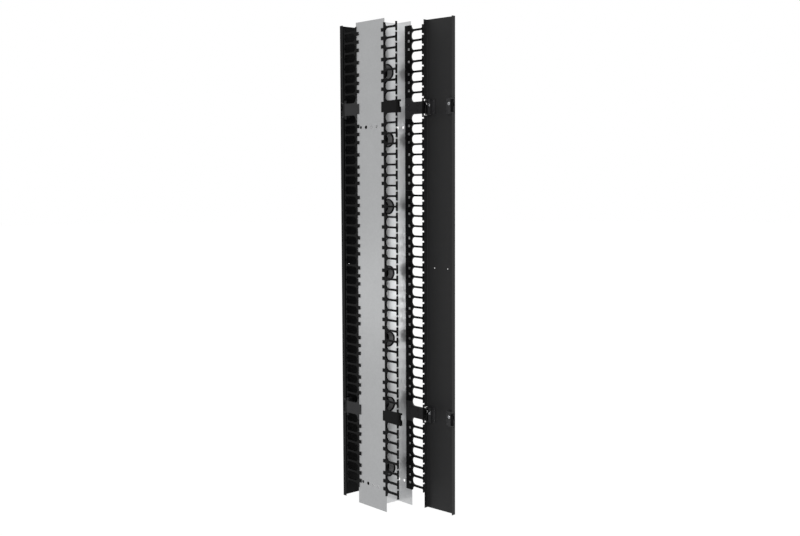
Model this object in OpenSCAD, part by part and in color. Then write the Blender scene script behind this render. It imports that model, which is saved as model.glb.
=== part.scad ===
// Vertical cable manager: an H-section steel frame with finger ladders on its four
// wall edges, cable pass-throughs in the web and a double-hinged door at each face.
// X is the width, Y the depth (the front is -Y) and Z is up, from the web's lower edge.

/* [Frame] */
// Height of the side walls and the web
frame_h = 2133.6; // [2120:0.1:2300]
// Width over the outer faces of the side walls
frame_w = 152.4; // [140:0.1:200]
// Depth of each side wall, from front edge to rear edge
frame_d = 190.5; // [160:0.1:260]
// Thickness of the wall and web sheet
sheet_t = 2; // [1.5:0.1:2.3]
// Depth of the web's fastening flanges
web_flange = 18; // [12:1:30]
// Inside bend radius of the web's flanges
web_bend = 2; // [1:0.5:4]

/* [Wall holes] */
// Height of the lower row of wall holes
hole_row_low = 102; // [80:1:160]
// Height of the upper row of wall holes
hole_row_high = 1679; // [1500:1:1720]
// Diameter of the small wall holes
hole_small_d = 13; // [6:0.5:13]
// Diameter of the large wall hole
hole_large_d = 16; // [10:0.5:18]
// Distance of the outermost holes from the wall's middle, rear side
hole_rear_y = 64.75; // [60:0.25:70]
// Distance of the large hole from the wall's middle, rear side
hole_large_y = 29.75; // [25:0.25:35]
// Distance of the inner small hole from the wall's middle, front side
hole_inner_y = 7.75; // [5:0.25:12]
// Distance of the foremost small hole from the wall's middle, front side
hole_front_y = 42.75; // [38:0.25:50]

/* [Pass-throughs] */
// Number of round pass-throughs in the web
pass_count = 7; // [7:1:7]
// Height of the lowest pass-through
pass_first_z = 165; // [120:1:200]
// Distance from the highest pass-through to the web's upper edge
pass_last_gap = 216; // [180:1:260]
// Outer diameter of the grommet's front collar
collar_d = 68; // [64:0.5:74]
// Clear bore of the grommet
collar_bore = 58; // [50:0.5:60]
// How far the collar stands in front of the web
collar_len = 30; // [12:0.5:40]
// Diameter of the grommet's neck, which fills the hole in the web
neck_d = 61; // [60.5:0.1:62]

/* [Finger ladders] */
// Height of one rack unit, the pitch of the fingers
rack_unit = 44.45; // [44:0.05:44.7]
// Height of the lowest ladder end above the floor, in rack units
ladder_start_u = 1.6; // [1:0.1:1.6]
// Length of a finger from the wall's edge to its tip
finger_len = 79; // [70:0.5:82]
// Height of a finger's bar
bar_h = 8.2; // [6:0.1:12]
// Thickness of the ladder across the wall
ladder_w = 8.4; // [7.4:0.1:10]
// Thickness of the T end of a finger
tip_t = 4; // [3:0.1:6]
// Gap between the T ends of neighbouring fingers
tip_gap = 7.1; // [4:0.1:12]
// Radius in a window's corners at the wall
window_base_r = 17; // [10:0.5:17]
// Radius in a window's corners at the finger tips
window_tip_r = 4; // [2:0.5:6]
// Thickness of the ladder's spine beyond the wall's edge
spine_t = 2.5; // [2:0.1:4]
// Depth of the ladder's inner strip on the wall
strip_d = 35; // [28:0.5:40]
// Depth of the ladder's outer lip on the wall
lip_d = 3; // [2:0.5:6]
// Depth of an outer clip tab on the wall
tab_d = 18; // [14:0.5:24]
// Height of an outer clip tab
tab_h = 15; // [10:0.5:20]
// Height of the moulding slot behind each tab
slot_h = 11; // [8:0.5:14]
// Clearance between the clip and the wall sheet
clip_gap = 0.15; // [0.1:0.05:0.3]
// Gap between neighbouring modules in a ladder
module_gap = 0.3; // [0.2:0.05:1]

/* [Hinge brackets] */
// Height of the bracket's outer clip tab
bracket_tab_h = 44; // [30:0.5:50]
// Distance of the hinge axis inside the frame's outer face
pivot_inset = 2.2; // [1.2:0.1:3.2]
// Distance of the hinge axis beyond the finger tips
pivot_reach = 17.75; // [15.75:0.25:18.75]
// Radius of the knuckle round the hinge axis
knuckle_r = 5.4; // [5.3:0.05:5.6]
// Height of the knuckle
knuckle_h = 54; // [50:0.5:58]
// Lowest point of the lock's window, from the bracket's middle
window_low = -3; // [-5:0.5:-1]
// Highest point of the lock's window, from the bracket's middle
window_high = 19; // [17.5:0.5:20]
// Depth of the round seat that takes the lock's nose
seat_depth = 5; // [3:0.5:6]

/* [Doors] */
// How far a door stands out beyond the frame's width, each side
door_side = 3.175; // [2.8:0.025:3.8]
// Height of a door's lower edge above the floor
door_z = 11; // [5:0.5:11.5]
// Distance of a door's upper edge below the frame's
door_top = 2.6; // [0.6:0.1:40]
// Distance of a closed door's outer face beyond the hinge axis
door_standoff = 14; // [13:0.1:16]
// Depth of a door's side flanges
door_flange = 22.2; // [20:0.1:24]
// Thickness of the door's sheet
door_t = 1.2; // [0.8:0.1:1.5]
// Outside bend radius of the door's edges
door_bend = 2.5; // [2:0.1:3]
// Height of the notch in a flange at each bracket
notch_h = 68; // [67:0.5:74]
// Strip of flange left beside a notch
notch_lip = 3; // [2.6:0.1:3.5]
// Diameter of the two small holes at a door's mid-height
door_hole_d = 5; // [3:0.5:8]
// Distance between those two holes
door_hole_gap = 74; // [60:0.5:90]
// How far the front door stands open
door_open = 95.6; // [90:0.1:100]

/* [Latches] */
// Radius of the steel hinge pin
pin_r = 2.5; // [2.3:0.05:2.6]
// Running clearance round the pin and round the lock
run_gap = 0.05; // [0.03:0.01:0.08]
// Side clearance of the pin in the knuckle's open mouth
mouth_gap = 0.3; // [0.2:0.05:0.5]
// Height of a latch housing
housing_h = 66; // [64:0.5:66.5]
// Thickness of the housing's base plate
base_t = 3; // [2:0.1:4]
// Width of the housing's base plate
base_w = 46; // [40:0.5:54]
// Outer radius of the lock sleeve
lock_r = 3.8; // [3.6:0.05:3.85]
// Length of the lock sleeve
lock_len = 17.7; // [16:0.1:18]
// Travel of the lock
lock_travel = 7; // [6:0.5:7.2]
// Width of the housing's column, which carries the shoulder bolt
column_t = 15; // [14:0.5:16]
// Radius of the shoulder bolt's head
bolt_head_r = 6.5; // [5.5:0.1:7]
// Height of the shoulder bolt above the housing's middle
bolt_z = 9; // [6:0.5:12]

/* [Hidden] */
$fn = 64;
eps = 0.01;
rest_gap = 0.3;

wall_mid_x = frame_w/2 - sheet_t/2;
wall_edge_y = frame_d/2;
pass_pitch = (frame_h - pass_first_z - pass_last_gap)/(pass_count - 1);
pivot_x = frame_w/2 - pivot_inset;
pivot_y = wall_edge_y + finger_len + pivot_reach;
door_w = frame_w + 2*door_side;
door_h = frame_h - door_z - door_top;
door_y = pivot_y + door_standoff;
window_h = rack_unit - bar_h;
fingers_each = 7;
module_h = fingers_each*rack_unit;
bracket_h = 2*rack_unit;
ladder_z = ladder_start_u*rack_unit;
// Clip tabs of a module, in rack units from its middle
tab_units = [-2.8, -2, -1.2, 0, 1.2, 2, 2.8];
// Stacking order of a ladder, from the floor up: one module, a bracket, four modules,
// a bracket and one more module
module_mid_units = [3.5, 12.5, 19.5, 26.5, 33.5, 42.5];
bracket_mid_units = [8, 38];
bracket_names = ["lower", "upper"];
corners = [["front_left", -1, -1], ["front_right", 1, -1], ["rear_left", -1, 1], ["rear_right", 1, 1]];
door_names = ["front", "rear"];
sides = ["hinge", "free"];

seat_low = window_low - seat_depth;
lock_low = seat_low + rest_gap;
ear_h = housing_h/2 - knuckle_h/2 - rest_gap;
panel_in_y = door_y - door_t;
stem_w = 4;
stem_h = 6;
stem_rise = 7.7;
stem_low = lock_low + stem_rise;
// Thumb slide: its plate reaches further inboard of the stem than outboard
knob_in = 16;
knob_out = 2.5;
knob_plate_t = 1.5;
knob_plate_low = stem_low - lock_travel - 1;
knob_plate_h = stem_h + 2*lock_travel + 2;
knob_ridge_w = 10;
knob_ridge_h = 6;
knob_ridge_t = 3.5;
column_gap = 4.6;
ear_out = 3;
bolt_shank_r = 3;
bolt_head_t = 2.4;
bolt_socket = 5;
bolt_socket_depth = 1.4;
window_back = 1.7;
barb_len = 5;
barb_lip = 1.5;
barb_out = 1.7;
slot_over = 1;
slot_inset = 4;
latch_screw_r = 2;
latch_screw_head_r = 4;
latch_screw_head_t = 2.4;
latch_screw_inset = 7;
latch_screw_z = 24;
bracket_screw_r = 2;
bracket_screw_head_r = 3.6;
bracket_screw_head_t = 2;
bracket_screw_z = 14;
bracket_screw_in = 12;
bracket_screw_out = 50;

function unit_z(u) = ladder_z + u*rack_unit;
function bracket_z(i) = unit_z(bracket_mid_units[i]);

// Everything on a wall edge is drawn at the front right and mirrored to its corner
module at_corner(side_x, side_y) {
    mirror([side_x < 0 ? 1 : 0, 0, 0])
        mirror([0, side_y > 0 ? 1 : 0, 0])
            children();
}

// A profile of depth beyond the wall's front edge against height, thickened along X
module on_edge(x0, thickness) {
    translate([x0, -wall_edge_y, 0])
        rotate([90, 0, 90])
            linear_extrude(thickness)
                mirror([1, 0])
                    children();
}

module side_wall(side_x) {
    hole_spots = [[hole_rear_y, hole_small_d], [hole_large_y, hole_large_d],
                  [-hole_inner_y, hole_small_d], [-hole_front_y, hole_small_d]];
    color("silver")
        difference() {
            translate([side_x*wall_mid_x - sheet_t/2, -wall_edge_y, 0])
                cube([sheet_t, frame_d, frame_h]);
            for (z = [hole_row_low, hole_row_high])
                for (h = hole_spots)
                    translate([side_x*wall_mid_x, h[0], z])
                        rotate([0, 90, 0])
                            cylinder(d = h[1], h = 2*sheet_t, center = true);
            for (i = [0:1])
                for (sy = [-1, 1])
                    for (sz = [-1, 1])
                        translate([side_x*wall_mid_x, sy*(wall_edge_y - bracket_screw_in),
                                   bracket_z(i) + sz*bracket_screw_z])
                            rotate([0, 90, 0])
                                cylinder(r = bracket_screw_r + clip_gap, h = 2*sheet_t, center = true);
        }
}

// Plan of one half of the web: a straight run, a bend and a flange against the wall
module web_half_plan() {
    inner_x = wall_mid_x - sheet_t/2;
    outer_r = web_bend + sheet_t;
    translate([0, -sheet_t/2])
        square([inner_x - outer_r, sheet_t]);
    translate([inner_x - sheet_t, -sheet_t/2 + outer_r])
        square([sheet_t, web_flange - outer_r]);
    translate([inner_x - outer_r, -sheet_t/2 + outer_r])
        intersection() {
            difference() {
                circle(outer_r);
                circle(web_bend);
            }
            translate([0, -outer_r])
                square(outer_r);
        }
}

module web_panel() {
    color("gainsboro")
        difference() {
            linear_extrude(frame_h) {
                web_half_plan();
                mirror([1, 0])
                    web_half_plan();
            }
            for (i = [0:pass_count - 1])
                translate([0, 0, pass_first_z + i*pass_pitch])
                    rotate([90, 0, 0])
                        cylinder(d = neck_d + 2*clip_gap, h = 2*sheet_t, center = true, $fn = 96);
        }
}

// Grommet: a deep collar in front of the web, a neck in the hole and a barb behind it
module grommet(i) {
    bore_r = collar_bore/2;
    rim_r = (collar_d - collar_bore)/4;
    rim_y = sheet_t/2 + collar_len - rim_r;
    back_y = -sheet_t/2;
    barb_r = neck_d/2 + barb_out;
    rim = [for (a = [0:15:180]) [bore_r + rim_r + rim_r*cos(a), rim_y + rim_r*sin(a)]];
    body = [[bore_r, back_y - barb_len], [neck_d/2, back_y - barb_len], [barb_r, back_y - barb_lip],
            [barb_r, back_y], [neck_d/2, back_y], [neck_d/2, sheet_t/2], [collar_d/2, sheet_t/2]];
    color("black")
        translate([0, 0, pass_first_z + i*pass_pitch])
            rotate([90, 0, 0])
                rotate_extrude($fn = 96)
                    polygon(concat(body, rim));
}

// Opening between two fingers, with a throat between their T ends
module finger_window() {
    reach = finger_len - tip_t;
    translate([reach - 1, -tip_gap/2])
        square([tip_t + 2, tip_gap]);
    translate([spine_t, -window_h/2 + window_base_r])
        square([reach - spine_t - window_tip_r, window_h - 2*window_base_r]);
    translate([spine_t + window_base_r, -window_h/2])
        square([reach - spine_t - window_base_r - window_tip_r, window_h]);
    translate([spine_t + window_base_r, -window_h/2 + window_tip_r])
        square([reach - spine_t - window_base_r, window_h - 2*window_tip_r]);
    for (s = [-1, 1]) {
        translate([spine_t + window_base_r, s*(window_h/2 - window_base_r)])
            circle(window_base_r);
        translate([reach - window_tip_r, s*(window_h/2 - window_tip_r)])
            circle(window_tip_r, $fn = 32);
    }
}

// Spine and fingers of a ladder section, with a window at each listed height
module comb(height, window_units) {
    difference() {
        translate([0, -height/2])
            square([finger_len, height]);
        for (u = window_units)
            translate([0, u*rack_unit])
                finger_window();
    }
}

// Clip that straddles the wall's edge: a slotted strip inside, a lip and tabs outside
module clip(height, tab_middles, each_tab_h, slotted) {
    leg_t = ladder_w/2 - sheet_t/2 - clip_gap;
    on_edge(wall_mid_x - ladder_w/2, leg_t)
        difference() {
            translate([-strip_d, -height/2])
                square([strip_d + spine_t, height]);
            if (slotted)
                for (z = tab_middles)
                    translate([-tab_d - slot_over, z - slot_h/2])
                        square([tab_d + slot_over - slot_inset, slot_h]);
        }
    on_edge(wall_mid_x + ladder_w/2 - leg_t, leg_t) {
        translate([-lip_d, -height/2])
            square([lip_d + spine_t, height]);
        for (z = tab_middles)
            translate([-tab_d, z - each_tab_h/2])
                square([tab_d, each_tab_h]);
    }
}

module finger_module(i) {
    height = module_h - module_gap;
    half = fingers_each/2;
    color("black")
        translate([0, 0, unit_z(module_mid_units[i])]) {
            on_edge(wall_mid_x - ladder_w/2, ladder_w)
                comb(height, [for (u = [-half:half]) u]);
            clip(height, tab_units*rack_unit, tab_h, true);
        }
}

// Knuckle with an open groove for the door's pin, a window for the lock and its seat
module knuckle() {
    depth_in = pivot_y - wall_edge_y - finger_len + 1;
    difference() {
        union() {
            translate([pivot_x, -pivot_y, -knuckle_h/2])
                cylinder(r = knuckle_r, h = knuckle_h);
            translate([pivot_x - knuckle_r, -pivot_y, -knuckle_h/2])
                cube([2*knuckle_r, depth_in, knuckle_h]);
        }
        translate([pivot_x, -pivot_y, -knuckle_h])
            cylinder(r = pin_r + run_gap, h = 2*knuckle_h);
        translate([pivot_x - pin_r - mouth_gap, -pivot_y - 2*knuckle_r, -knuckle_h])
            cube([2*pin_r + 2*mouth_gap, 2*knuckle_r, 2*knuckle_h]);
        translate([pivot_x - 2*knuckle_r, -pivot_y - 2*knuckle_r, window_low])
            cube([4*knuckle_r, 2*knuckle_r + lock_r + window_back, window_high - window_low]);
        translate([pivot_x, -pivot_y, seat_low])
            cylinder(r = lock_r + run_gap, h = seat_depth + eps);
    }
}

module bracket_screw_places() {
    for (along = [-bracket_screw_in, bracket_screw_out])
        for (s = [-1, 1])
            translate([wall_mid_x - ladder_w/2, -wall_edge_y - along, s*bracket_screw_z])
                rotate([0, 90, 0])
                    children();
}

module bracket(i) {
    height = bracket_h - module_gap;
    color("#303030")
        translate([0, 0, bracket_z(i)])
            difference() {
                union() {
                    on_edge(wall_mid_x - ladder_w/2, ladder_w)
                        comb(height, [-1, 1]);
                    clip(height, [0], bracket_tab_h, false);
                    knuckle();
                }
                bracket_screw_places()
                    cylinder(r = bracket_screw_r + run_gap, h = ladder_w - 1);
            }
}

// Four pan-head screws in each bracket, driven from the inside of the frame
module bracket_screws() {
    color("dimgray")
        for (c = corners)
            for (i = [0:1])
                at_corner(c[1], c[2])
                    translate([0, 0, bracket_z(i)])
                        bracket_screw_places() {
                            cylinder(r = bracket_screw_r, h = ladder_w - 1.2);
                            translate([0, 0, -bracket_screw_head_t])
                                cylinder(r = bracket_screw_head_r, h = bracket_screw_head_t);
                        }
}

// Plan of a tray that is open at the back and has rounded front edges
module tray_plan(width, depth, radius) {
    translate([-width/2, radius])
        square([width, depth - radius]);
    translate([-width/2 + radius, 0])
        square([width - 2*radius, radius + eps]);
    for (s = [-1, 1])
        translate([s*(width/2 - radius), radius])
            circle(radius, $fn = 48);
}

module door() {
    slot_low = stem_low - 1;
    slot_h_all = stem_h + lock_travel + 2;
    color("#2a2a2a")
        difference() {
            translate([0, -door_y, door_z])
                linear_extrude(door_h)
                    difference() {
                        tray_plan(door_w, door_flange, door_bend);
                        translate([0, door_t])
                            tray_plan(door_w - 2*door_t, door_flange, door_bend - door_t);
                    }
            for (s = [-1, 1]) {
                for (i = [0:1]) {
                    translate([s*door_w/2 - door_bend, -door_y + notch_lip, bracket_z(i) - notch_h/2])
                        cube([2*door_bend, door_flange, notch_h]);
                    translate([s*pivot_x - stem_w/2 - 0.5, -door_y - 1, bracket_z(i) + slot_low])
                        cube([stem_w + 1, 3*door_t, slot_h_all]);
                }
                translate([s*door_hole_gap/2, -door_y, door_z + door_h/2])
                    rotate([90, 0, 0])
                        cylinder(d = door_hole_d, h = 4*door_t, center = true);
            }
        }
}

// Hands a latch its four places on a door: both edges at both bracket heights
module latch_places() {
    for (s = [-1, 1])
        for (i = [0:1])
            mirror([s < 0 ? 1 : 0, 0, 0])
                translate([0, 0, bracket_z(i)])
                    children();
}

module latch_screw_places() {
    for (s = [-1, 1])
        translate([pivot_x + ear_out - base_w + latch_screw_inset, -panel_in_y, s*latch_screw_z])
            rotate([-90, 0, 0])
                children();
}

// The shoulder bolt's seat on the face of the housing's column
module bolt_place() {
    translate([pivot_x - knuckle_r - column_gap - column_t/2, -pivot_y, bolt_z])
        rotate([-90, 0, 0])
            children();
}

// Housing: a base plate on the door, a column and two ears that hold the hinge pin
module latch_housing() {
    column_x = pivot_x - knuckle_r - column_gap - column_t;
    difference() {
        union() {
            translate([pivot_x + ear_out - base_w, -panel_in_y, -housing_h/2])
                cube([base_w, base_t, housing_h]);
            translate([column_x, -panel_in_y, -housing_h/2])
                cube([column_t, panel_in_y - pivot_y, housing_h]);
            for (s = [-1, 1])
                translate([0, 0, s*(housing_h/2 - ear_h/2)]) {
                    translate([pivot_x, -pivot_y, 0])
                        cylinder(r = knuckle_r - 1, h = ear_h, center = true);
                    translate([column_x, -panel_in_y, -ear_h/2])
                        cube([pivot_x + ear_out - column_x, panel_in_y - pivot_y, ear_h]);
                }
        }
        bolt_place()
            cylinder(r = bolt_shank_r + run_gap, h = 2*(panel_in_y - pivot_y) - base_t, center = true);
        translate([pivot_x, -pivot_y, 0])
            cylinder(r = pin_r + run_gap, h = 2*housing_h, center = true);
        translate([pivot_x - stem_w/2 - 0.5, -panel_in_y - 1, stem_low - 1])
            cube([stem_w + 1, base_t + 2, stem_h + lock_travel + 2]);
        latch_screw_places()
            cylinder(r = latch_screw_r + run_gap, h = 3*base_t, center = true);
    }
}

module hinge_pin() {
    translate([pivot_x, -pivot_y, -housing_h/2])
        cylinder(r = pin_r, h = housing_h);
}

// Two small screws in the base plate and a shoulder bolt with a hexagon socket
module latch_screws() {
    shank = panel_in_y - pivot_y - base_t;
    latch_screw_places() {
        cylinder(r = latch_screw_r, h = base_t);
        translate([0, 0, base_t])
            cylinder(r = latch_screw_head_r, h = latch_screw_head_t);
    }
    bolt_place()
        difference() {
            union() {
                translate([0, 0, -shank])
                    cylinder(r = bolt_shank_r, h = shank + eps);
                cylinder(r = bolt_head_r, h = bolt_head_t);
            }
            translate([0, 0, bolt_head_t - bolt_socket_depth])
                cylinder(d = bolt_socket/cos(30), h = bolt_head_t, $fn = 6);
        }
}

// Lock: a sleeve on the hinge pin, with a stem through the door to a thumb slide
module lock(side_x, i, raised) {
    bore_r = pin_r + run_gap;
    knob_y = door_y + rest_gap;
    color("slategray")
        mirror([side_x < 0 ? 1 : 0, 0, 0])
            translate([pivot_x, 0, bracket_z(i) + (raised ? lock_travel : 0)]) {
                difference() {
                    union() {
                        translate([0, -pivot_y, lock_low])
                            cylinder(r = lock_r, h = lock_len);
                        translate([-stem_w/2, -knob_y - 1, stem_low])
                            cube([stem_w, knob_y + 1 - pivot_y, stem_h]);
                    }
                    translate([0, -pivot_y, lock_low - 1])
                        cylinder(r = bore_r, h = lock_len + 2);
                }
                translate([-knob_in, -knob_y - knob_plate_t, knob_plate_low])
                    cube([knob_in + knob_out, knob_plate_t, knob_plate_h]);
                translate([-knob_in, -knob_y - knob_plate_t - knob_ridge_t, stem_low])
                    cube([knob_ridge_w, knob_ridge_t + eps, knob_ridge_h]);
            }
}

// Swings the front door's pieces about their hinge axis to where they stand open
module on_front_door() {
    translate([pivot_x, -pivot_y, 0])
        rotate([0, 0, door_open])
            translate([-pivot_x, pivot_y, 0])
                children();
}

// The rear door is the same part, turned half round and closed
module on_rear_door() {
    rotate([0, 0, 180])
        children();
}

module on_door(name) {
    if (name == "front") on_front_door() children();
    if (name == "rear") on_rear_door() children();
}

side_wall(-1);  // side_wall_left
side_wall(1);  // side_wall_right
web_panel();
bracket_screws();
for (i = [1:pass_count])
    grommet(i - 1);
for (c = corners) {
    for (i = [1:len(module_mid_units)])
        at_corner(c[1], c[2]) finger_module(i - 1);
    for (i = [0:1])
        at_corner(c[1], c[2]) bracket(i);
}
for (d = door_names) {
    on_door(d) door();
    on_door(d) color("black") latch_places() latch_housing();
    on_door(d) color("lightgray") latch_places() hinge_pin();
    on_door(d) color("dimgray") latch_places() latch_screws();
    for (i = [0:1]) {
        on_door(d) lock(1, i, false);
        on_door(d) lock(-1, i, true);
    }
}
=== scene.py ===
# Vertical cable manager: steel H-section frame, finger ladders, latching doors.
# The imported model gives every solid. This script gives each its finish, puts detailed
# heads on the screws and bolts, and adds the floor, the light and the camera.
import math

import bmesh
import bpy
from mathutils import Matrix, Vector


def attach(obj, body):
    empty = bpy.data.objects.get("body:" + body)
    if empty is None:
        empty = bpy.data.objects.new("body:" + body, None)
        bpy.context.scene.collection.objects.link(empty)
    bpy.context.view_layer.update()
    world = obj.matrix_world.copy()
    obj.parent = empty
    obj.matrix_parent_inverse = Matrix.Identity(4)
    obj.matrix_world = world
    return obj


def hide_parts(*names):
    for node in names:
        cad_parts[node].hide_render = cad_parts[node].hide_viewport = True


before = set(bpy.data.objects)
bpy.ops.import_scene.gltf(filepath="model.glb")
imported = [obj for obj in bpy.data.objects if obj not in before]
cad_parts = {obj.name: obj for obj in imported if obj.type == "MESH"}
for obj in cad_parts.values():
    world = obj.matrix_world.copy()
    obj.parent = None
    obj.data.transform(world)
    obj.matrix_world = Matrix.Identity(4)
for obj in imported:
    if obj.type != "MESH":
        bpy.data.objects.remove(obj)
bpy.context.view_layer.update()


# ---------------------------------------------------------------- side walls
# The two side walls: zinc-coated steel sheet, 2 mm thick, sheared and punched flat.
# The coating is semi-matt, with small crystals that catch the light differently.
def finish_nodes(names, material):
    for name in names:
        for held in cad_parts[name].material_slots:
            held.material = material


def add_node(tree, kind, at, **values):
    made = tree.nodes.new(kind)
    made.location = at
    for key, value in values.items():
        setattr(made, key, value)
    return made


def new_group(name, inputs, outputs):
    tree = bpy.data.node_groups.new(name, "ShaderNodeTree")
    for label, start in inputs:
        socket = tree.interface.new_socket(label, in_out="INPUT", socket_type="NodeSocketFloat")
        socket.default_value = start
    for label, kind in outputs:
        tree.interface.new_socket(label, in_out="OUTPUT", socket_type=kind)
    inlet = add_node(tree, "NodeGroupInput", (-900, 0))
    outlet = add_node(tree, "NodeGroupOutput", (700, 0))
    return tree, inlet, outlet


def place_group(material, group, at, **values):
    made = material.node_tree.nodes.new("ShaderNodeGroup")
    made.node_tree = group
    made.location = at
    for key, value in values.items():
        made.inputs[key.replace("_", " ")].default_value = value
    return made


def new_material(name):
    material = bpy.data.materials.new(name)
    material.use_nodes = True
    shader = material.node_tree.nodes["Principled BSDF"]
    return material, shader, material.node_tree.links


def zinc_spangle_group():
    tree, inlet, outlet = new_group(
        "zinc spangle",
        [("Crystal size", 0.006), ("Crystal contrast", 0.05), ("Cloud contrast", 0.08)],
        [("Tone", "NodeSocketFloat"), ("Height", "NodeSocketFloat")])
    link = tree.links.new
    place = add_node(tree, "ShaderNodeTexCoord", (-900, 300))
    per_metre = add_node(tree, "ShaderNodeMath", (-700, 150), operation="DIVIDE")
    per_metre.inputs[0].default_value = 1.0
    link(inlet.outputs["Crystal size"], per_metre.inputs[1])
    crystals = add_node(tree, "ShaderNodeTexVoronoi", (-500, 200))
    link(place.outputs["Object"], crystals.inputs["Vector"])
    link(per_metre.outputs[0], crystals.inputs["Scale"])
    grey = add_node(tree, "ShaderNodeSeparateColor", (-300, 200))
    link(crystals.outputs["Color"], grey.inputs["Color"])
    crystal_part = add_node(tree, "ShaderNodeMath", (-100, 200), operation="MULTIPLY_ADD")
    link(grey.outputs["Red"], crystal_part.inputs[0])
    link(inlet.outputs["Crystal contrast"], crystal_part.inputs[1])
    crystal_part.inputs[2].default_value = 1.0
    clouds = add_node(tree, "ShaderNodeTexNoise", (-500, -100))
    clouds.inputs["Scale"].default_value = 7.0
    clouds.inputs["Detail"].default_value = 3.0
    link(place.outputs["Object"], clouds.inputs["Vector"])
    centred = add_node(tree, "ShaderNodeMath", (-300, -100), operation="SUBTRACT")
    centred.inputs[1].default_value = 0.5
    link(clouds.outputs["Fac"], centred.inputs[0])
    cloud_part = add_node(tree, "ShaderNodeMath", (-100, -100), operation="MULTIPLY_ADD")
    link(centred.outputs[0], cloud_part.inputs[0])
    link(inlet.outputs["Cloud contrast"], cloud_part.inputs[1])
    cloud_part.inputs[2].default_value = 1.0
    tone = add_node(tree, "ShaderNodeMath", (150, 100), operation="MULTIPLY")
    link(crystal_part.outputs[0], tone.inputs[0])
    link(cloud_part.outputs[0], tone.inputs[1])
    link(tone.outputs[0], outlet.inputs["Tone"])
    link(crystals.outputs["Distance"], outlet.inputs["Height"])
    return tree


def tinted_tone(material, tone, colour, at):
    tint = add_node(material.node_tree, "ShaderNodeMix", at, data_type="RGBA",
                    blend_type="MULTIPLY")
    tint.inputs["Factor"].default_value = 1.0
    tint.inputs[6].default_value = (*colour, 1.0)
    material.node_tree.links.new(tone, tint.inputs[7])
    return tint.outputs[2]


def bumped(material, height, at, strength, distance):
    bump = add_node(material.node_tree, "ShaderNodeBump", at)
    bump.inputs["Strength"].default_value = strength
    bump.inputs["Distance"].default_value = distance
    material.node_tree.links.new(height, bump.inputs["Height"])
    return bump.outputs["Normal"]


zinc_spangle = zinc_spangle_group()


CRYSTAL_SIZE = 0.007
ZINC_SHINE = 0.75


def zinc_sheet(name, colour, roughness, crystal_contrast, cloud_contrast):
    """Zinc-coated sheet; the crystals and broad clouds change its tone, not its shine."""
    material, shader, links = new_material(name)
    spangle = place_group(material, zinc_spangle, (-700, 100), Crystal_size=CRYSTAL_SIZE,
                          Crystal_contrast=crystal_contrast, Cloud_contrast=cloud_contrast)
    links.new(tinted_tone(material, spangle.outputs["Tone"], colour, (-400, 200)),
              shader.inputs["Base Color"])
    links.new(bumped(material, spangle.outputs["Height"], (-400, -200), strength=0.15,
                     distance=0.0004),
              shader.inputs["Normal"])
    shader.inputs["Metallic"].default_value = ZINC_SHINE
    shader.inputs["Roughness"].default_value = roughness
    return material


# The left wall gets a much darker copy of the web's zinc colour: painted shade, not a different
# sheet.
left_wall_zinc_painted_shade = zinc_sheet("wall zinc", (0.385, 0.39, 0.395), roughness=0.42,
                       crystal_contrast=0.05, cloud_contrast=0.10)
finish_nodes(["side_wall_left"], left_wall_zinc_painted_shade)


# ---------------------------------------------------------------- web panel
# The web: the same zinc-coated sheet, punched and folded, spot-welded between the walls.
# It and the right wall, which face the open front, have kept more of their shine.
web_zinc = zinc_sheet("web zinc", (0.66, 0.665, 0.67), roughness=0.31,
                      crystal_contrast=0.06, cloud_contrast=0.14)
finish_nodes(["web_panel"], web_zinc)
right_zinc = zinc_sheet("right wall zinc", (0.58, 0.585, 0.59), roughness=0.3,
                        crystal_contrast=0.05, cloud_contrast=0.12)
finish_nodes(["side_wall_right"], right_zinc)


# ---------------------------------------------------------------- finger ladders
# Finger modules: black plastic mouldings, clipped over the walls' edges in a stack.
# The mould leaves a fine eroded grain and a slightly uneven sheen.
def moulded_grain_group():
    tree, inlet, outlet = new_group(
        "moulded grain",
        [("Grain size", 0.0006), ("Sheen variation", 0.1)],
        [("Tone", "NodeSocketFloat"), ("Sheen", "NodeSocketFloat"), ("Height", "NodeSocketFloat")])
    link = tree.links.new
    place = add_node(tree, "ShaderNodeTexCoord", (-900, 300))
    per_metre = add_node(tree, "ShaderNodeMath", (-700, 150), operation="DIVIDE")
    per_metre.inputs[0].default_value = 1.0
    link(inlet.outputs["Grain size"], per_metre.inputs[1])
    grain = add_node(tree, "ShaderNodeTexNoise", (-500, 200))
    grain.inputs["Detail"].default_value = 2.0
    link(place.outputs["Object"], grain.inputs["Vector"])
    link(per_metre.outputs[0], grain.inputs["Scale"])
    patches = add_node(tree, "ShaderNodeTexNoise", (-500, -100))
    patches.inputs["Scale"].default_value = 18.0
    patches.inputs["Detail"].default_value = 3.0
    link(place.outputs["Object"], patches.inputs["Vector"])
    centred = add_node(tree, "ShaderNodeMath", (-300, -100), operation="SUBTRACT")
    centred.inputs[1].default_value = 0.5
    link(patches.outputs["Fac"], centred.inputs[0])
    sheen = add_node(tree, "ShaderNodeMath", (-100, -100), operation="MULTIPLY")
    link(centred.outputs[0], sheen.inputs[0])
    link(inlet.outputs["Sheen variation"], sheen.inputs[1])
    tone = add_node(tree, "ShaderNodeMath", (100, 0), operation="ADD")
    tone.inputs[1].default_value = 1.0
    link(sheen.outputs[0], tone.inputs[0])
    link(tone.outputs[0], outlet.inputs["Tone"])
    link(sheen.outputs[0], outlet.inputs["Sheen"])
    link(grain.outputs["Fac"], outlet.inputs["Height"])
    return tree


moulded_grain = moulded_grain_group()


def uneven_sheen(material, sheen, roughness):
    uneven = add_node(material.node_tree, "ShaderNodeMath", (-400, 0), operation="ADD")
    uneven.inputs[1].default_value = roughness
    material.node_tree.links.new(sheen, uneven.inputs[0])
    return uneven.outputs[0]


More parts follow.
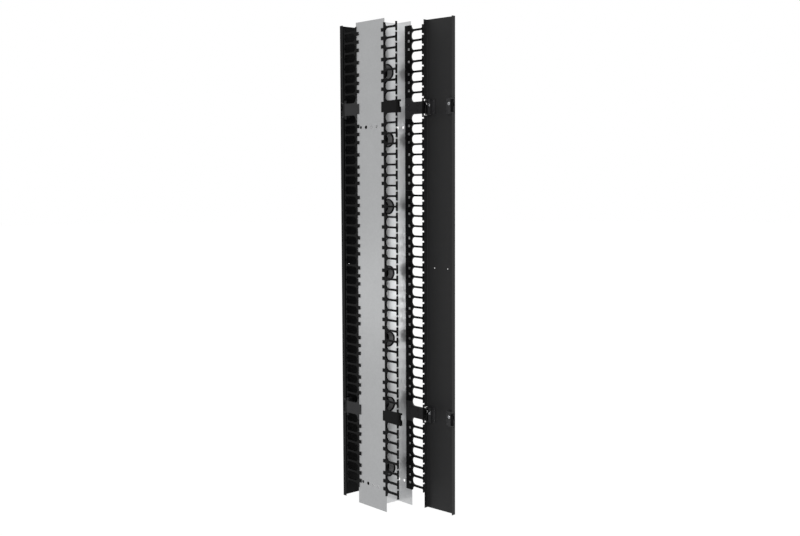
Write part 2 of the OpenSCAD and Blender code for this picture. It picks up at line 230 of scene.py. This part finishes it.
def moulded_plastic(name, colour, roughness, level, grain_size, variation):
    """Moulded plastic; the level is how much it shines at right angles."""
    material, shader, links = new_material(name)
    grain = place_group(material, moulded_grain, (-700, 100), Grain_size=grain_size,
                        Sheen_variation=variation)
    links.new(tinted_tone(material, grain.outputs["Tone"], colour, (-400, 200)),
              shader.inputs["Base Color"])
    links.new(uneven_sheen(material, grain.outputs["Sheen"], roughness),
              shader.inputs["Roughness"])
    links.new(bumped(material, grain.outputs["Height"], (-400, -200), strength=0.2,
                     distance=0.00008),
              shader.inputs["Normal"])
    shader.inputs["Specular IOR Level"].default_value = level
    return material


ladder_plastic = moulded_plastic("ladder plastic", (0.0025, 0.0025, 0.0027), roughness=0.45,
                                 level=0.07, grain_size=0.0006, variation=0.2)
finish_nodes([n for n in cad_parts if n.startswith("fingers_")], ladder_plastic)


# ---------------------------------------------------------------- brackets
# Hinge and latch brackets: heavier mouldings in a slightly greyer, satin plastic,
# screwed to the walls at two heights. Their knuckles are blacker than their plates.
KNUCKLE_START = 0.1744
KNUCKLE_SHARE = 0.08


def outer_zone_group():
    """1 beyond a distance from the middle of the depth, 0 nearer than that."""
    tree, inlet, outlet = new_group("outer zone", [("Distance", KNUCKLE_START)],
                                    [("Mask", "NodeSocketFloat")])
    place = add_node(tree, "ShaderNodeTexCoord", (-900, 300))
    axes = add_node(tree, "ShaderNodeSeparateXYZ", (-700, 300))
    away = add_node(tree, "ShaderNodeMath", (-500, 300), operation="ABSOLUTE")
    beyond = add_node(tree, "ShaderNodeMath", (-300, 200), operation="GREATER_THAN")
    tree.links.new(place.outputs["Object"], axes.inputs[0])
    tree.links.new(axes.outputs["Y"], away.inputs[0])
    tree.links.new(away.outputs[0], beyond.inputs[0])
    tree.links.new(inlet.outputs["Distance"], beyond.inputs[1])
    tree.links.new(beyond.outputs[0], outlet.inputs["Mask"])
    return tree


outer_zone = outer_zone_group()


def dark_where(material, mask, share):
    """Takes a material's colour down to a share of itself where the mask is 1."""
    shader = material.node_tree.nodes["Principled BSDF"]
    links = material.node_tree.links
    kept = add_node(material.node_tree, "ShaderNodeMix", (-200, 500), data_type="FLOAT")
    kept.inputs[2].default_value = 1.0
    kept.inputs[3].default_value = share
    links.new(mask, kept.inputs["Factor"])
    dimmed = add_node(material.node_tree, "ShaderNodeMix", (0, 400), data_type="RGBA",
                      blend_type="MULTIPLY")
    dimmed.inputs["Factor"].default_value = 1.0
    links.new(shader.inputs["Base Color"].links[0].from_socket, dimmed.inputs[6])
    links.new(kept.outputs[0], dimmed.inputs[7])
    links.new(dimmed.outputs[2], shader.inputs["Base Color"])


def bracket_plastic(name, colour, level):
    """Bracket moulding whose knuckle, beyond the finger tips, is blacker."""
    material = moulded_plastic(name, colour, roughness=0.42, level=level, grain_size=0.0008,
                               variation=0.2)
    zone = place_group(material, outer_zone, (-500, 500), Distance=KNUCKLE_START)
    dark_where(material, zone.outputs["Mask"], KNUCKLE_SHARE)
    return material


bracket_names = [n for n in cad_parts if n.startswith("bracket_") and n != "bracket_screws"]
grey_brackets = bracket_plastic("bracket plastic", (0.028, 0.028, 0.029), level=0.1)
# The front left pair gets a darker copy of the same bracket plastic: painted shade, as those
# brackets stand in shade.
front_left_brackets_painted_shade = bracket_plastic("bracket plastic painted shade", (0.0055, 0.0055, 0.0058), level=0.05)
finish_nodes([n for n in bracket_names if "front_left" not in n], grey_brackets)
finish_nodes([n for n in bracket_names if "front_left" in n], front_left_brackets_painted_shade)


# ---------------------------------------------------------------- grommets
# Grommets: smooth black rings pressed into the web's holes. The lip is black; the bore behind it
# is painted light grey as painted light, lit from the left.
PASS_FIRST, PASS_PITCH = 0.165, 0.2921
BORE_RADIUS, LIP_START = 0.0294, -0.023
LIP_SHARE = 0.02


def bore_group():
    """1 on the walls of a row of bores, behind their lips, and 0 elsewhere."""
    tree, inlet, outlet = new_group(
        "bore walls",
        [("First height", PASS_FIRST), ("Pitch", PASS_PITCH), ("Radius", BORE_RADIUS),
         ("Lip", LIP_START)],
        [("Mask", "NodeSocketFloat")])
    link = tree.links.new
    place = add_node(tree, "ShaderNodeTexCoord", (-1500, 300))
    axes = add_node(tree, "ShaderNodeSeparateXYZ", (-1300, 300))
    link(place.outputs["Object"], axes.inputs[0])

    def step(operation, at, first, second=None):
        made = add_node(tree, "ShaderNodeMath", at, operation=operation)
        for source, socket in zip((first, second), made.inputs):
            if source is not None:
                link(source, socket)
        return made.outputs[0]

    raised = step("SUBTRACT", (-1100, 200), axes.outputs["Z"], inlet.outputs["First height"])
    pitches = step("DIVIDE", (-950, 200), raised, inlet.outputs["Pitch"])
    nearest = step("ROUND", (-800, 200), pitches)
    centre = step("MULTIPLY", (-650, 200), nearest, inlet.outputs["Pitch"])
    height = step("SUBTRACT", (-500, 200), raised, centre)
    across = step("MULTIPLY", (-500, 400), axes.outputs["X"], axes.outputs["X"])
    along = step("MULTIPLY", (-350, 200), height, height)
    reach = step("SQRT", (-50, 300), step("ADD", (-200, 300), across, along))
    inside = step("LESS_THAN", (100, 300), reach, inlet.outputs["Radius"])
    behind = step("GREATER_THAN", (100, 100), axes.outputs["Y"], inlet.outputs["Lip"])
    link(step("MULTIPLY", (300, 200), inside, behind), outlet.inputs["Mask"])
    return tree


# The light grey colour here is painted light on the bore walls; the lip outside the bores is taken
# down to the plastic's black.
grommet_plastic_painted_light = moulded_plastic("grommet plastic painted light", (0.28, 0.28, 0.285), roughness=0.38,
                                  level=0.12, grain_size=0.0008, variation=0.25)
bore = place_group(grommet_plastic_painted_light, bore_group(), (-700, 600))
outside_bore = add_node(grommet_plastic_painted_light.node_tree, "ShaderNodeMath", (-500, 600),
                        operation="SUBTRACT")
outside_bore.inputs[0].default_value = 1.0
grommet_plastic_painted_light.node_tree.links.new(bore.outputs["Mask"], outside_bore.inputs[1])
dark_where(grommet_plastic_painted_light, outside_bore.outputs[0], LIP_SHARE)
finish_nodes([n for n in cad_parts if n.startswith("grommet_")], grommet_plastic_painted_light)


# ---------------------------------------------------------------- doors
# Both doors: 1.2 mm steel sheet, folded and powder-coated satin black.
# The coat has the slight orange peel of sprayed and baked powder.
PEEL_SIZE = 0.0022
PEEL_SHEEN = 0.1


def powder_coat(name, colour, roughness, level):
    material, shader, links = new_material(name)
    peel = place_group(material, moulded_grain, (-700, 100), Grain_size=PEEL_SIZE,
                       Sheen_variation=PEEL_SHEEN)
    links.new(tinted_tone(material, peel.outputs["Tone"], colour, (-400, 200)),
              shader.inputs["Base Color"])
    links.new(bumped(material, peel.outputs["Height"], (-400, -200), strength=0.12,
                     distance=0.0002),
              shader.inputs["Normal"])
    links.new(uneven_sheen(material, peel.outputs["Sheen"], roughness),
              shader.inputs["Roughness"])
    shader.inputs["Specular IOR Level"].default_value = level
    return material


front_coat = powder_coat("front door powder coat", (0.0165, 0.0165, 0.017), roughness=0.4,
                         level=0.2)
# The rear door has the same powder coat, painted darker and with a weaker shine: painted shade, as
# that door stands in shade.
rear_coat_painted_shade = powder_coat("rear door powder coat painted shade", (0.004, 0.004, 0.0042), roughness=0.4,
                        level=0.08)
finish_nodes(["front_door"], front_coat)
finish_nodes(["rear_door"], rear_coat_painted_shade)


# ---------------------------------------------------------------- latches
# Latches: black satin housings screwed inside the doors, blacker locks that slide up and
# down in them, and hinge pins of blackened ground steel.
latch_plastic = moulded_plastic("latch plastic", (0.016, 0.016, 0.017), roughness=0.4,
                                level=0.35, grain_size=0.0006, variation=0.2)
finish_nodes([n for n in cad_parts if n.startswith("latch_housings")], latch_plastic)
lock_plastic = moulded_plastic("lock plastic", (0.003, 0.003, 0.0032), roughness=0.45,
                               level=0.08, grain_size=0.0006, variation=0.2)
finish_nodes([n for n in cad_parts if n.startswith("lock_")], lock_plastic)


GRINDING_SIZE = 0.0012
GRINDING_SHEEN = 0.15


def ground_steel(name, colour, roughness):
    material, shader, links = new_material(name)
    marks = place_group(material, moulded_grain, (-700, 100), Grain_size=GRINDING_SIZE,
                        Sheen_variation=GRINDING_SHEEN)
    links.new(tinted_tone(material, marks.outputs["Tone"], colour, (-400, 200)),
              shader.inputs["Base Color"])
    links.new(uneven_sheen(material, marks.outputs["Sheen"], roughness),
              shader.inputs["Roughness"])
    shader.inputs["Metallic"].default_value = 1.0
    return material


pin_steel = ground_steel("blackened pin steel", (0.006, 0.006, 0.0064), roughness=0.45)
finish_nodes(["hinge_pins_front", "hinge_pins_rear"], pin_steel)


# ---------------------------------------------------------------- screws and bolts
# Screw and bolt heads with their drives: small cross-recessed pan heads in black zinc,
# and one bright hexagon-socket bolt in each latch. Each stands where the CAD has it.
HEAD_SEGMENTS = 48
SMALL_HEAD_LIMIT = 0.005
CROSS_HALF_WIDTH, CROSS_HALF_LENGTH, CROSS_TAPER, CROSS_DEPTH = 0.12, 0.55, 0.8, 0.32
HEXAGON_REACH, HEXAGON_TAPER, HEXAGON_DEPTH = 0.385, 0.97, 0.22
screw_steel = ground_steel("blackened screw steel", (0.10, 0.10, 0.105), roughness=0.4)
bolt_steel = ground_steel("bright bolt steel", (0.75, 0.76, 0.78), roughness=0.22)


def loose_parts(mesh):
    """The points of each separate solid of a mesh."""
    grown = bmesh.new()
    grown.from_mesh(mesh)
    left = set(grown.verts)
    parts = []
    while left:
        start = min(left, key=lambda v: v.index)
        part, edge = {start}, [start]
        while edge:
            for joined in edge.pop().link_edges:
                for v in joined.verts:
                    if v not in part:
                        part.add(v)
                        edge.append(v)
        left -= part
        parts.append([v.co.copy() for v in part])
    grown.free()
    return parts


def head_places(node, outward):
    """Radius, centre of the top and turn of every head of a CAD node that faces outward."""
    turn = outward.to_track_quat("Z", "X").to_matrix()
    placed = []
    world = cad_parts[node].matrix_world
    for part in loose_parts(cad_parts[node].data):
        local = [turn.transposed() @ (world @ co) for co in part]
        low, high = ([pick(co[i] for co in local) for i in range(3)] for pick in (min, max))
        radius = (high[0] - low[0])/2
        centre = turn @ Vector(((low[0] + high[0])/2, (low[1] + high[1])/2, high[2]))
        placed.append((radius, centre, turn))
    return placed


def cross_outline(angle):
    folded = (angle + math.pi/4) % (math.pi/2) - math.pi/4
    return min(CROSS_HALF_LENGTH/math.cos(folded),
               CROSS_HALF_WIDTH/max(abs(math.sin(folded)), 0.01))


def hexagon_outline(angle):
    folded = (angle + math.pi/6) % (math.pi/3) - math.pi/6
    return HEXAGON_REACH/math.cos(folded)


def add_head(mesh, radius, centre, turn, rings):
    """One head: each ring is an outline in head radii and a height below the top."""
    made = []
    for outline, drop in rings:
        ring = []
        for i in range(HEAD_SEGMENTS):
            angle = 2*math.pi*i/HEAD_SEGMENTS
            reach = radius*(outline(angle) if callable(outline) else outline)
            spot = Vector((reach*math.cos(angle), reach*math.sin(angle), -drop*radius))
            ring.append(mesh.verts.new(centre + turn @ spot))
        made.append(ring)
    for lower, upper in zip(made, made[1:]):
        for i in range(HEAD_SEGMENTS):
            j = (i + 1) % HEAD_SEGMENTS
            mesh.faces.new((lower[i], lower[j], upper[j], upper[i]))
    mesh.faces.new(made[-1])
    mesh.faces.new(list(reversed(made[0])))


PAN_RINGS = [(0.98, 0.58), (1.0, 0.42), (0.94, 0.18), (0.80, 0.05), (0.66, 0.0),
             (cross_outline, 0.0), (lambda angle: CROSS_TAPER*cross_outline(angle), CROSS_DEPTH)]
BOLT_RINGS = [(1.0, 0.36), (1.0, 0.07), (0.93, 0.0), (0.52, 0.0),
              (hexagon_outline, 0.03),
              (lambda angle: HEXAGON_TAPER*hexagon_outline(angle), HEXAGON_DEPTH)]


def heads_piece(name, places, rings, material):
    mesh = bmesh.new()
    for radius, centre, turn in places:
        add_head(mesh, radius, centre, turn, rings)
    bmesh.ops.recalc_face_normals(mesh, faces=mesh.faces)
    data = bpy.data.meshes.new(name)
    mesh.to_mesh(data)
    mesh.free()
    data.materials.append(material)
    piece = bpy.data.objects.new(name, data)
    bpy.context.scene.collection.objects.link(piece)
    return piece


FRONT_DOOR_TURN = math.radians(95.6)
inward = {"front": Vector((-math.sin(FRONT_DOOR_TURN), math.cos(FRONT_DOOR_TURN), 0)),
          "rear": Vector((0, -1, 0))}
for door, facing in inward.items():
    node = f"latch_screws_{door}"
    places = head_places(node, facing)
    small = [place for place in places if place[0] < SMALL_HEAD_LIMIT]
    large = [place for place in places if place[0] >= SMALL_HEAD_LIMIT]
    for label, group, rings, material, slot in (
            ("base_screws", small, PAN_RINGS, screw_steel, "screw_steel"),
            ("shoulder_bolts", large, BOLT_RINGS, bolt_steel, "pin_steel")):
        piece = heads_piece(f"{label}_{door}", group, rings, material)
        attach(piece, f"{door}_leaf")
        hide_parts(node)

bracket_places = []
for side in (-1, 1):
    facing_in = head_places("bracket_screws", Vector((side, 0, 0)))
    bracket_places += [place for place in facing_in if side*place[1].x < 0]
wall_screws = heads_piece("wall_screws", bracket_places, PAN_RINGS, screw_steel)
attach(wall_screws, "frame")
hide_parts("bracket_screws")


# ---------------------------------------------------------------- floor
# A pale floor and a white surround. Both look white to the camera and in reflections;
# the floor still takes a faint shadow.
FLOOR_RADIUS, FLOOR_DROP = 30.0, 0.0005
floor_mesh = bpy.data.meshes.new("floor")
disc = bmesh.new()
bmesh.ops.create_circle(disc, cap_ends=True, radius=FLOOR_RADIUS, segments=96)
disc.to_mesh(floor_mesh)
disc.free()
floor = bpy.data.objects.new("floor", floor_mesh)
bpy.context.scene.collection.objects.link(floor)
floor.location = (0, 0, -FLOOR_DROP)


def sees_background(tree):
    """1 for the rays that show the background: from the camera, off gloss or through glass."""
    rays = add_node(tree, "ShaderNodeLightPath", (-900, 300))
    either = add_node(tree, "ShaderNodeMath", (-700, 300), operation="MAXIMUM")
    tree.links.new(rays.outputs["Is Camera Ray"], either.inputs[0])
    tree.links.new(rays.outputs["Is Glossy Ray"], either.inputs[1])
    any_ray = add_node(tree, "ShaderNodeMath", (-500, 300), operation="MAXIMUM")
    tree.links.new(either.outputs[0], any_ray.inputs[0])
    tree.links.new(rays.outputs["Is Transmission Ray"], any_ray.inputs[1])
    return any_ray.outputs[0]


SHADOW_SHARE = 0.12
FLOOR_GLOW = 1.095
floor_paint, floor_shader, floor_links = new_material("pale floor")
floor_tree = floor_paint.node_tree
floor_shader.inputs["Base Color"].default_value = (0.8, 0.8, 0.8, 1.0)
floor_shader.inputs["Roughness"].default_value = 0.9
floor_shader.inputs["Specular IOR Level"].default_value = 0.0
glow = add_node(floor_tree, "ShaderNodeEmission", (-100, 300))
glow.inputs["Strength"].default_value = FLOOR_GLOW
blend = add_node(floor_tree, "ShaderNodeMixShader", (300, 200))
lift = add_node(floor_tree, "ShaderNodeMath", (-100, 500), operation="MULTIPLY")
lift.inputs[1].default_value = 1.0 - SHADOW_SHARE
floor_links.new(sees_background(floor_tree), lift.inputs[0])
floor_links.new(lift.outputs[0], blend.inputs["Fac"])
floor_links.new(floor_shader.outputs[0], blend.inputs[1])
floor_links.new(glow.outputs[0], blend.inputs[2])
floor_links.new(blend.outputs[0], floor_tree.nodes["Material Output"].inputs["Surface"])
floor.data.materials.append(floor_paint)


# ---------------------------------------------------------------- light
# Soft light from all round, a large key panel high on the left, a low and a high strip that
# shine in the corner of the web and the right wall, and one that grazes the left wall.
AMBIENT = 0.55
world = bpy.data.worlds.new("white room")
world.use_nodes = True
bpy.context.scene.world = world
room = world.node_tree
backdrop = room.nodes["Background"]
brightness = add_node(room, "ShaderNodeMix", (-250, 200), data_type="FLOAT")
brightness.inputs[2].default_value = AMBIENT
brightness.inputs[3].default_value = 1.0
room.links.new(sees_background(room), brightness.inputs["Factor"])
backdrop.inputs["Color"].default_value = (1, 1, 1, 1)
room.links.new(brightness.outputs[0], backdrop.inputs["Strength"])


def soft_panel(name, at, aim, size, power):
    lamp = bpy.data.lights.new(name, "AREA")
    lamp.shape = "RECTANGLE"
    lamp.size, lamp.size_y = size
    lamp.energy = power
    held = bpy.data.objects.new(name, lamp)
    bpy.context.scene.collection.objects.link(held)
    held.location = at
    held.visible_camera = False
    held.rotation_euler = (Vector(aim) - Vector(at)).to_track_quat("-Z", "Y").to_euler()


soft_panel("key panel", (-3.6, -3.0, 3.9), aim=(0, 0, 1.1), size=(2.4, 2.4), power=56)
soft_panel("low front panel", (-2.6, -3.05, 0.48), aim=(0, 0, 1.0), size=(1.6, 0.4), power=31)
soft_panel("high front panel", (-2.6, -3.05, 2.1), aim=(0, 0, 1.8), size=(1.6, 0.35), power=11)
soft_panel("rear left panel", (-1.6, 1.8, 0.7), aim=(-0.08, 0, 0.95), size=(1.2, 0.15),
           power=1.6)


# ---------------------------------------------------------------- camera
# The camera stands to the front left, at about two thirds of the height, and looks
# slightly down. The right, ahead and up vectors are its axes before the small roll.
CAMERA_AT = (-3.063914, -3.619671, 1.467757)
LENS_MM = 48.4983
TURN, TILT, ROLL = math.radians(-41.076), math.radians(4.463), math.radians(-0.223)
right = Vector((math.cos(TURN), math.sin(TURN), 0))
ahead = Vector((-math.sin(TURN)*math.cos(TILT), math.cos(TURN)*math.cos(TILT), -math.sin(TILT)))
up = right.cross(ahead)
rolled_right = right*math.cos(ROLL) + up*math.sin(ROLL)
rolled_up = up*math.cos(ROLL) - right*math.sin(ROLL)
camera_data = bpy.data.cameras.new("camera")
camera_data.lens = LENS_MM
camera_data.shift_y = -0.01
camera_data.clip_start, camera_data.clip_end = 0.05, 120.0
camera = bpy.data.objects.new("camera", camera_data)
bpy.context.scene.collection.objects.link(camera)
camera.matrix_world = (Matrix.Translation(CAMERA_AT)
                       @ Matrix((rolled_right, rolled_up, -ahead)).transposed().to_4x4())
bpy.context.scene.camera = camera

bpy.context.scene.view_settings.view_transform = "Standard"
